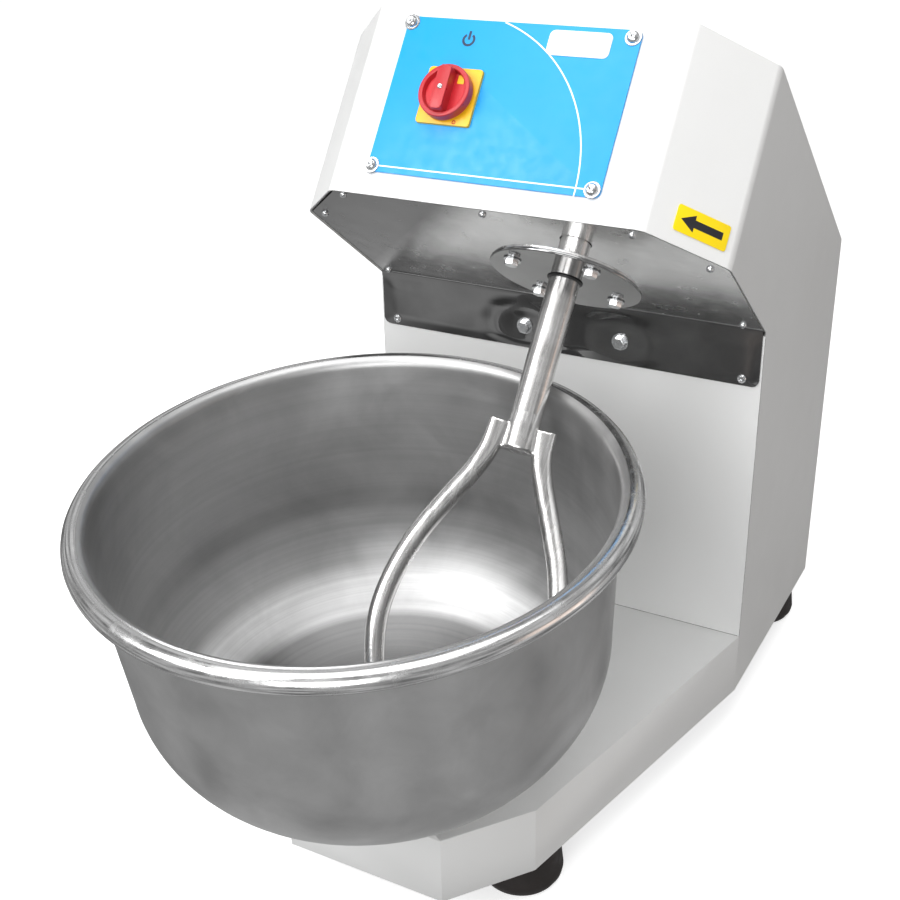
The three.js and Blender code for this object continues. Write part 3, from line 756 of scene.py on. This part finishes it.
def add_soffit():
    shape = bmesh.new()
    front = sheet_rows(shape, 0)
    back = sheet_rows(shape, -SOFFIT["steel"])
    close_sheet(shape, front, back)
    sheet = add_piece("soffit_splash_sheet", shape, housing_place, "mirror_steel", ["soffit_splash_plate"])
    # The slope gets the steel with the painted reflection
    sheet.data.materials.append(SOFFIT_PAINTED_REFLECTION_STEEL)
    slope = (soffit_place.to_3x3() @ Vector((0, 0, 1))).normalized()
    for face in sheet.data.polygons:
        face.material_index = 1 if abs(face.normal.dot(slope)) > 0.97 else 0
    hole = lathe([(0, -6), (SHAFT_HOLE, -6), (SHAFT_HOLE, 6), (0, 6)], 64)
    cut_out(sheet, hole, shifted(soffit_place, *SHAFT_ON_SOFFIT))


# Housing: the front, its chamfered cheeks and both side panels, with soft folds between them


def housing_corners():
    """Right-hand corners of the housing, by name, in millimetres from the column's front at foot height."""
    run = Vector((0, -math.cos(HEAD_PITCH), math.sin(HEAD_PITCH)))
    up = Vector((0, math.sin(FRONT_LEAN), math.cos(FRONT_LEAN)))
    neck = Vector((HALF_WIDTH, 0, NECK_HEIGHT))
    chamfer = Vector((CHAMFER_ACROSS, 0, 0)) - run * CHAMFER_ALONG
    low = neck + run * SOFFIT_LENGTH - Vector((CHAMFER_ACROSS, 0, 0))
    high = low + up * FRONT_HEIGHT
    reach = (COLUMN_DEPTH - high.y) / math.cos(HEAD_PITCH)
    rear_high = high - run * reach
    rear_high.x = HALF_WIDTH
    return {
        "low": low,
        "high": high,
        "cheek_low": low + chamfer,
        "cheek_high": high + chamfer,
        "neck": neck,
        "rear_high": rear_high,
        "front_foot": Vector((HALF_WIDTH, 0, 0)),
        "rear_foot": Vector((HALF_WIDTH, COLUMN_DEPTH, 0)),
    }


def housing_shape():
    """The front and, on each side, its cheek and the side panel, with the edges between them rounded."""
    shape = bmesh.new()
    points = {}
    for name, corner in housing_corners().items():
        points[name] = {1: shape.verts.new(corner), -1: shape.verts.new((-corner.x, corner.y, corner.z))}
    shape.faces.new([points["low"][-1], points["low"][1], points["high"][1], points["high"][-1]])
    cheek = ["low", "cheek_low", "cheek_high", "high"]
    panel = ["front_foot", "rear_foot", "rear_high", "cheek_high", "cheek_low", "neck"]
    for side in (1, -1):
        for names in (cheek, panel):
            ring = [points[name][side] for name in names]
            shape.faces.new(ring if side == 1 else ring[::-1])
    folds = [edge for edge in shape.edges if len(edge.link_faces) == 2]
    bmesh.ops.bevel(shape, geom=folds, offset=HOUSING_FOLD, segments=6, profile=0.5, affect="EDGES")
    bmesh.ops.recalc_face_normals(shape, faces=shape.faces)
    return shape


def add_housing():
    housing = add_piece("housing_folded_sheet", housing_shape(), housing_place, "white_paint",
                        ["head_front_cover", "left_side_panel", "right_side_panel"], sharp=50)
    thickness = housing.modifiers.new("thickness", "SOLIDIFY")
    thickness.thickness = HOUSING_STEEL * MM
    thickness.offset = -1
    thickness.use_even_offset = True
    flat = housing.modifiers.new("flat_faces", "WEIGHTED_NORMAL")
    flat.weight = 100
    flat.keep_sharp = True


# Bowl


def bowl_shell():
    """The spun shell, and the number of its faces that are inside; these come first."""
    radius, wall, flat, taper = BOWL["radius"], BOWL["wall"], BOWL["flat"], BOWL["taper"]
    straight, depth, roll = BOWL["straight"], BOWL["depth"], BOWL["lip"]
    reach = radius - taper - flat
    drop = depth - straight
    steps = 28
    inner = []
    outer = []
    for i in range(steps + 1):
        angle = (math.pi / 2) * i / steps
        inner.append((flat + reach * math.cos(angle), -straight - drop * math.sin(angle)))
        outer.append((flat + (reach + wall) * math.cos(angle), -straight - (drop + wall) * math.sin(angle)))
    wall_inner = []
    for i in range(1, 6):
        below = 1 - i / 6
        wall_inner.append((radius - taper * below, -straight * below))
    wall_outer = [(x + wall, z) for x, z in reversed(wall_inner)]
    # Near the top the wall turns outwards and rolls over the bead
    lip = arc(radius + roll, BEAD["height"], roll, 180, 110, 10)
    lip_back = arc(radius + roll, BEAD["height"], roll - wall, 110, 180, 10)
    inside = [*reversed(inner), *wall_inner, *lip]
    profile = [(0, -depth), *inside, *lip_back, *wall_outer, *outer, (0, -depth - wall)]
    return lathe(profile, BOWL_STEPS), BOWL_STEPS * len(inside)


def bowl_rim():
    """The rolled bead, with the slight waviness that hand polishing leaves."""
    shape = bmesh.new()
    centre = BOWL["radius"] + BEAD["reach"]
    steps = 240
    around = 28
    rings = []
    for i in range(steps):
        turn = 2 * math.pi * i / steps
        wobble = 0.12 * math.sin(7 * turn + 0.6) + 0.08 * math.sin(19 * turn)
        ring = []
        for j in range(around):
            angle = 2 * math.pi * j / around
            radius = BEAD["radius"] + wobble * math.cos(angle - 0.8)
            reach = centre + radius * math.cos(angle)
            height = BEAD["height"] + radius * math.sin(angle)
            ring.append(shape.verts.new((reach * math.cos(turn), reach * math.sin(turn), height)))
        rings.append(ring)
    for i in range(steps):
        here, after = rings[i], rings[(i + 1) % steps]
        for j in range(around):
            k = (j + 1) % around
            shape.faces.new((here[j], after[j], after[k], here[k]))
    bmesh.ops.recalc_face_normals(shape, faces=shape.faces)
    return shape


def add_bowl():
    shape, inner_faces = bowl_shell()
    shell = add_piece("bowl_shell_spun", shape, bowl_place, "satin_steel", ["bowl_shell"], "bowl")
    # The inside gets the steel with the painted highlight ring
    shell.data.materials.append(INSIDE_STEEL)
    for face in shell.data.polygons[:inner_faces]:
        face.material_index = 1
    add_piece("bowl_rolled_rim", bowl_rim(), bowl_place, "mirror_steel", ["bowl_rim"], "bowl", RIM_STEEL)
    add_centre_disc()
    add_hub()


def add_centre_disc():
    """The plate that covers the hub's bolts, a hair above the floor of the bowl."""
    floor = -BOWL["depth"]
    radius, edge = CENTRE_DISC["radius"], CENTRE_DISC["edge"]
    top = floor + CENTRE_DISC["height"]
    disc = lathe([
        (0, floor + 0.1), (radius, floor + 0.1), (radius, top - edge),
        *arc(radius - edge, top - edge, edge, 0, 90, 4), (0, top),
    ])
    add_piece("bowl_centre_disc", disc, bowl_place, "satin_steel", body="bowl", look=INSIDE_STEEL)


def add_hub():
    top = -BOWL["depth"] - BOWL["wall"] - 0.3
    hub = lathe([
        (HUB_BORE, top - 22), (23.4, top - 22), (24, top - 21.2), (26, top - 12), (35.2, top - 10),
        (36, top - 9.2), (36, top), (HUB_BORE, top), (HUB_BORE, top - 22),
    ])
    add_piece("bowl_hub_turned", hub, bowl_place, "cast_iron", ["bowl_hub"], "bowl")


# Agitator


def tine_path(side, steps=8):
    """A smooth curve through the points of the route (Catmull-Rom)."""
    points = [Vector((side * reach, 0, z)) for reach, z in TINE_ROUTE]
    path = []
    for i in range(len(points) - 1):
        a = points[max(i - 1, 0)]
        b = points[i]
        c = points[i + 1]
        d = points[min(i + 2, len(points) - 1)]
        for step in range(steps):
            t = step / steps
            bend = (2 * a - 5 * b + 4 * c - d) * t**2
            path.append(0.5 * (2 * b + (c - a) * t + bend + (3 * b - a - 3 * c + d) * t**3))
    path.append(points[-1])
    return path


def tine_section(t):
    """Square shouldered where it is forged against the tube, round lower down, domed at the very end."""
    square = max(0.0, 1 - t / 0.3)
    power = 2 / (2 + 2.2 * square)
    end = min(1.0, (1 - t) / 0.02 + 0.55)
    points = []
    for i in range(32):
        angle = 2 * math.pi * i / 32
        c, s = math.cos(angle), math.sin(angle)
        u = math.copysign(abs(c) ** power, c) * TINE_RADIUS * (1 + 0.02 * square) * end
        v = math.copysign(abs(s) ** power, s) * TINE_RADIUS * (1 + 0.05 * square) * end
        points.append((u, v))
    return points


def add_fork():
    turn = Matrix.Rotation(FORK_PLANE, 4, "Z")
    place = agitator_place @ turn
    radius = TUBE_RADIUS
    seat = DISC["top"] - DISC["thickness"] - 0.3
    tube = lathe([(0, TUBE_FOOT), (radius, TUBE_FOOT), (radius, seat - 0.6), (radius - 0.6, seat), (0, seat)])
    add_piece("fork_tube", tube, place, "satin_steel", body="agitator", look=TUBE_STEEL)
    # The tines are welded to a stub, which sleeves the lower end of the tube
    stub = lathe([
        (0, STUB_FOOT), (radius - 1, STUB_FOOT), (radius + 0.4, STUB_FOOT + 2),
        (radius + 0.4, TUBE_FOOT - 10), (radius - 0.3, TUBE_FOOT + 4), (0, TUBE_FOOT + 4),
    ], 64)
    web = slab(rounded_rectangle(44, 15, 5), STUB_FOOT, TINE_ROUTE[0][1], 2)
    tines = [sweep(tine_path(side), tine_section) for side in (-1, 1)]
    fork = add_piece("fork_tines_forged", together(stub, web, *tines), place, "satin_steel",
                     ["agitator_fork"], "agitator", TUBE_STEEL)
    melt(fork, 1.1, 12)


def hex_bolt(corner, washer, head):
    """A washer and a chamfered head on z = 0: the radius to the head's corners, washer's radius, height."""
    ring = lathe([
        (2.5, 0), (washer - 0.3, 0), (washer, 0.3), (washer, 1.1), (washer - 0.3, 1.4), (2.5, 1.4), (2.5, 0),
    ], 40)
    hexagon = bmesh.new()
    levels = [(1.2, corner), (head - 1.0, corner), (head - 0.35, corner * 0.97), (head, corner * 0.86)]
    rings = []
    for height, radius in levels:
        corners = []
        for i in range(6):
            angle = math.pi * i / 3
            corners.append(hexagon.verts.new((radius * math.cos(angle), radius * math.sin(angle), height)))
        rings.append(corners)
    for low, high in zip(rings, rings[1:]):
        for i in range(6):
            j = (i + 1) % 6
            hexagon.faces.new((low[i], low[j], high[j], high[i]))
    hexagon.faces.new(rings[0][::-1])
    hexagon.faces.new(rings[-1])
    bmesh.ops.bevel(hexagon, geom=list(hexagon.edges), offset=0.25, segments=2, affect="EDGES")
    return together(ring, hexagon)


def add_coupling():
    """The disc on top of the fork's tube, and the drive shaft whose flange it is bolted to."""
    low, top = DISC["top"] - DISC["thickness"], DISC["top"]
    edge = DISC["edge"]
    reach = DISC["radius"] - edge
    disc = lathe([
        (0, low), (reach, low), *arc(reach, low + edge, edge, -90, 0, 4),
        *arc(reach, top - edge, edge, 0, 90, 4), (0, top),
    ], 160)
    add_piece("coupling_disc_polished", disc, agitator_place, "mirror_steel", ["coupling_disc"], "agitator",
              DISC_STEEL)
    flange, back = DISC["flange"], top + 0.3
    front = back + DISC["flange_thickness"]
    shaft = lathe([
        (0, back), (flange - 0.5, back), (flange, back + 0.5), (flange, front - 0.5), (flange - 0.5, front),
        (TUBE_RADIUS + 1.5, front), (TUBE_RADIUS, front + 1.5), (TUBE_RADIUS, 11.4), (TUBE_RADIUS - 0.6, 12),
        (SHAFT_RADIUS, 12), (SHAFT_RADIUS, 123.4), (SHAFT_RADIUS - 0.6, 124), (0, 124),
    ])
    add_piece("drive_shaft_turned", shaft, agitator_place, "shaft_steel", ["drive_shaft"], "agitator",
              TUBE_STEEL)
    add_coupling_bolts(low - 0.1)
    add_seal_ring(low - 0.1)


def add_coupling_bolts(seat):
    flip = Matrix.Rotation(math.pi, 4, "X")
    for i in range(DISC["bolts"]):
        angle = (i + 0.5) * 2 * math.pi / DISC["bolts"]
        x = DISC["bolt_circle"] * math.cos(angle)
        y = DISC["bolt_circle"] * math.sin(angle)
        place = shifted(agitator_place, x, y, seat) @ flip
        bolt = f"coupling_bolt_{i + 1}"
        add_piece(f"{bolt}_head", hex_bolt(6.4, 8, 6.2), place, "zinc_fastener", [bolt], "agitator", sharp=15)


def add_seal_ring(seat):
    bore = TUBE_RADIUS + 0.1
    ring = lathe([
        (bore, seat), (16, seat), (16.2, seat - 0.3), (15.8, seat - 1.1), (15, seat - 1.5),
        (bore, seat - 1.5), (bore, seat),
    ])
    add_piece("seal_ring", ring, agitator_place, "foot_rubber", ["collar_ring"], "agitator",
              LOOKS["black_plastic"])


# Head: panel, switch, label, sign and screws


def screw(radius, height):
    """A button head with a socket, standing on z = 0."""
    socket = radius * 0.36
    return lathe([
        (0, height * 0.35), (socket * 0.9, height * 0.35), (socket, height * 0.9), (radius * 0.62, height),
        (radius * 0.86, height * 0.72), (radius, height * 0.28), (radius, 0), (0, 0),
    ], 32)


def add_panel():
    low, high = PANEL["low"], PANEL["high"]
    outline = rounded_rectangle(PANEL["width"], PANEL["height"], 6, PANEL["x"], PANEL["y"])
    plate = slab(outline, low, high, 0.5)
    add_piece("control_panel_plate", plate, front_place, "panel_blue", ["control_panel"])
    ink = high + 0.12
    curve = arc(PANEL_ARC["x"], PANEL_ARC["y"], PANEL_ARC["radius"], PANEL_ARC["start"], PANEL_ARC["end"], 48)
    # The base line lies a little higher than the curve that it crosses
    for name, line, top in (("arc", curve, ink), ("base", PANEL_LINE, ink + 0.05)):
        strip = ribbon(line, LINE_WIDTH, high - PRINT_DEPTH, top)
        add_piece(f"panel_{name}_line", strip, front_place, "label_white", look=PRINT_WHITE)
    for i, (x, y) in enumerate(PANEL_SCREWS):
        washer = lathe([(3, 0), (7.6, 0), (7.8, 0.3), (7.4, 0.8), (3, 0.8), (3, 0)], 40)
        head = together(washer, moved(screw(5.8, 3.4), z=0.5))
        add_piece(f"panel_screw_{i + 1}", head, shifted(front_place, x, y, high), "zinc_fastener")
    outline = rounded_rectangle(LABEL["width"], LABEL["height"], 5, LABEL["x"], LABEL["y"])
    label = slab(outline, high - PRINT_DEPTH, high + 0.7, 0.3)
    add_piece("blank_label_plate", label, front_place, "label_white", ["blank_label"])
    add_power_mark(high - PRINT_DEPTH, ink)


def add_power_mark(low, high):
    x, y = POWER_MARK
    loop = ribbon(arc(x, y, 5.3, 125, 415, 40), 2.3, low, high)
    stem = slab([(x - 1.2, y), (x + 1.2, y), (x + 1.2, y + 8.4), (x - 1.2, y + 8.4)], low, high)
    add_piece("power_mark", together(loop, stem), front_place, "black_plastic", look=PRINT_DARK)


def add_switch():
    """The yellow plate with its collar and the red zero; the knob goes over them."""
    base = PANEL["high"]
    top = base + SWITCH_PLATE["thickness"]
    width = SWITCH_PLATE["width"]
    plate = slab(rounded_rectangle(width, width, SWITCH_PLATE["round"], *SWITCH), base, top, 0.7)
    collar = lathe([(0, 0), (23.5, 0), (23.5, 2.4), (23, 2.9), (0, 2.9)], 64)
    bed = together(plate, moved(collar, *SWITCH, base + 3))
    add_piece("switch_plate_moulded", bed, front_place, "switch_yellow", ["switch_plate"])
    zero = ribbon(arc(SWITCH[0] + 12, SWITCH[1] - 24.2, 1.5, 0, 350, 20), 0.9, base + 3.2, base + 3.42)
    add_piece("switch_zero_mark", zero, front_place, "switch_red")
    add_knob(base + KNOB_STANDOFF)


def add_knob(low):
    """A dished knob with a grip across it; low is the height of its lower face."""
    ring = lathe([
        (0, low), (24.4, low), (25, low + 0.8), (25, low + 8.6), *arc(23.8, low + 8.6, 1.2, 0, 90, 4),
        (21.4, low + 9.8), *arc(21.4, low + 9, 0.8, 90, 180, 3), (19.6, low + 4.6), (0, low + 4.2),
    ])
    add_piece("switch_knob_ring", ring, switch_place, "switch_red", ["switch_knob"], "switch", KNOB_RIM)
    bed = lathe([(0, low + 4.1), (19.7, low + 4.5), (19.4, low + 5.2), (0, low + 5.2)], 64)
    add_piece("switch_knob_recess", bed, switch_place, "switch_red", body="switch")
    grip = slab(rounded_rectangle(12.5, 41, 3), low + 4.4, low + 17.4, 1.4)
    add_piece("switch_knob_grip", grip, switch_place, "switch_red", body="switch", look=KNOB_RIM)
    centre = moved(screw(2.6, 1.2), z=low + 17.2)
    add_piece("switch_knob_screw", centre, switch_place, "zinc_fastener", body="switch")
    for name, x, y, width, height in KNOB_MARKS:
        tab = slab(rounded_rectangle(width, height, 0.8, x, y), low + 5, low + 5.5)
        add_piece(f"switch_mark_{name}", tab, switch_place, "switch_yellow", body="switch")


def cheek_place():
    """Frame of the right chamfer at the arrow sign: x across it, y up, z out."""
    run = CHAMFER_ALONG * math.cos(HEAD_PITCH), -CHAMFER_ALONG * math.sin(HEAD_PITCH)
    across = Vector((CHAMFER_ACROSS, *run)).normalized()
    up = Vector((0, math.sin(FRONT_LEAN), math.cos(FRONT_LEAN)))
    outward = across.cross(up).normalized()
    turn = Matrix((across, outward.cross(across), outward)).transposed().to_4x4()
    low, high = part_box("direction_sticker")
    return Matrix.Translation((low + high) / 2) @ turn @ Matrix.Scale(MM, 4)


def add_sign():
    place = cheek_place()
    card = slab(rounded_rectangle(*SIGN, 2.4), -0.25, 0.25, 0.1)
    add_piece("arrow_sign_card", card, place, "switch_yellow", ["direction_sticker"], look=SIGN_YELLOW)
    arrow = [(-22, 0), (-8, -7.5), (-8, -3.4), (21, -3.4), (21, 3.4), (-8, 3.4), (-8, 7.5)]
    add_piece("arrow_sign_mark", slab(arrow, 0.2, 0.36), place, "black_plastic", look=SIGN_BLACK)


def add_column_front():
    """The column's front sheet, brought out to the side panels so that their joint is a fold."""
    half = HALF_WIDTH - 0.4
    low, high = DECK_HEIGHT + 0.3, NECK_HEIGHT - 4
    front = slab([(-half, low), (half, low), (half, high), (-half, high)], -2, 0.25, 0.2)
    add_piece("column_front_sheet", front, column_place, "white_paint", ["column_front_panel"])


def add_screws(name, spots, place, out, radius, height):
    """Button heads at these spots of a face, whose surface is out millimetres off its frame."""
    for i, (x, y) in enumerate(spots):
        add_piece(f"{name}_{i + 1}", screw(radius, height), shifted(place, x, y, out), "zinc_fastener")


def add_body_screws():
    add_screws("soffit_screw", SOFFIT_SCREWS, soffit_place, -1.2, 3.6, 3.2)
    add_screws("splash_screw", SPLASH_SCREWS, column_place, 1.7, 5, 3.2)
    for name, (x, z) in SPLASH_BOLTS.items():
        place = shifted(column_place, x, z, 1.8)
        add_piece(f"{name}_head", hex_bolt(7, 9, 6.4), place, "zinc_fastener", [name], sharp=15)
    place = shifted(column_place, *COLUMN_SCREW, -0.1)
    add_piece("column_screw", screw(4, 3), place, "zinc_fastener")
    for i, (x, z) in enumerate(REAR_SCREWS):
        place = shifted(rear_place(x * MM, (FOOT_HEIGHT + z) * MM), z=-0.1)
        add_piece(f"rear_screw_{i + 1}", screw(4, 2.6), place, "zinc_fastener")


# Feet and gland


def add_feet():
    profile = [
        (0, 0.2), (34, 0), *arc(34, 3, 3, -90, -20, 5), (40, 7), (41, 12), (40.6, 15), (38.6, 34), (38, 43.6),
        *arc(37, 43.6, 1, 0, 90, 3), (0, 44.6),
    ]
    for name in FEET:
        low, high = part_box(f"{name}_foot")
        middle = (low + high) / 2
        place = Matrix.Translation((middle.x, middle.y, 0)) @ Matrix.Scale(MM, 4)
        add_piece(f"{name}_foot_moulded", lathe(profile, 72), place, "foot_rubber", [f"{name}_foot"])


def add_gland():
    low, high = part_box("cable_gland")
    middle = (low + high) / 2
    bore = 4.5
    body = lathe([
        (bore, -14), (8, -14), (8, 8), (9.2, 8), (9.5, 9), (9.5, 15), *arc(6.5, 19, 3, 20, 90, 5), (bore, 22),
        (bore, -14),
    ], 48)
    nut = slab(arc(0, 0, 13, 0, 300, 5), 0.3, 8.6, 0.6)
    place = rear_place(middle.x, middle.z)
    add_piece("cable_gland_body", together(body, nut), place, "black_plastic", ["cable_gland"])


# Studio


def soft_light(name, at, aim, size, watts, colour=(1, 1, 1)):
    data = bpy.data.lights.new(name, "AREA")
    data.shape = "RECTANGLE"
    data.size, data.size_y = size
    data.energy = watts
    data.color = colour
    light = bpy.data.objects.new(name, data)
    light.location = at
    light.rotation_euler = (Vector(aim) - Vector(at)).to_track_quat("-Z", "Y").to_euler()
    link(light)


def add_floor():
    mesh = bpy.data.meshes.new("floor")
    corners = [(x * FLOOR_SIZE, y * FLOOR_SIZE, 0) for x, y in ((-1, -1), (1, -1), (1, 1), (-1, 1))]
    mesh.from_pydata(corners, [], [(0, 1, 2, 3)])
    floor = bpy.data.objects.new("floor", mesh)
    look = Look("studio_floor", (0.9, 0.9, 0.9), roughness=0.8)
    look.vary_colour(look.noise(look.coordinates(), 2), (0.88, 0.88, 0.88))
    look.shader.inputs["Emission Color"].default_value = (1, 1, 1, 1)
    look.shader.inputs["Emission Strength"].default_value = 0.62
    mesh.materials.append(look.material)
    link(floor)
    floor.visible_glossy = False
    floor.visible_diffuse = False


def add_world():
    """Plain white to the eye, and a room with soft light and dark patches to the metal."""
    world = bpy.data.worlds.new("studio")
    bpy.context.scene.world = world
    world.use_nodes = True
    nodes = Nodes(world.node_tree)
    direction = nodes.node("ShaderNodeTexCoord").outputs["Generated"]
    split = nodes.node("ShaderNodeSeparateXYZ")
    nodes.wire(direction, split.inputs[0])
    heights = nodes.ramp(nodes.spread(split.outputs["Z"], 0, 1, -1, 1), ROOM_HEIGHTS)
    bands = nodes.ramp(nodes.noise(direction, 4, 1), ROOM_BANDS)
    room = nodes.tree.nodes["Background"]
    room.inputs["Strength"].default_value = 0.9
    nodes.wire(nodes.times(heights, bands), room.inputs["Color"])
    backdrop = nodes.node("ShaderNodeBackground")
    backdrop.inputs["Color"].default_value = (1, 1, 1, 1)
    seen = nodes.node("ShaderNodeLightPath").outputs["Is Camera Ray"]
    choose = nodes.node("ShaderNodeMixShader")
    for i, source in enumerate((seen, room.outputs[0], backdrop.outputs[0])):
        nodes.wire(source, choose.inputs[i])
    nodes.wire(choose.outputs[0], nodes.tree.nodes["World Output"].inputs["Surface"])


def add_studio():
    add_floor()
    add_world()
    middle = (0, -0.1, 0.45)
    soft_light("key_softbox", (-1.2, -2.1, 2.1), middle, (1.8, 1.4), 52)
    soft_light("front_fill", (0.7, -2.7, 1.0), middle, (1.4, 1.4), 31)
    soft_light("top_softbox", (0.1, -0.5, 2.5), middle, (2.0, 1.6), 28)
    soft_light("side_fill", (2.6, 0.3, 0.2), middle, (1.4, 1.0), 4, (1.0, 0.78, 0.66))
    scene = bpy.context.scene
    scene.view_settings.view_transform = "Standard"
    scene.view_settings.look = "None"


add_camera()
dress_frame()
add_housing()
add_column_front()
add_soffit()
add_bowl()
add_fork()
add_coupling()
add_panel()
add_switch()
add_sign()
add_body_screws()
add_feet()
add_gland()
add_studio()
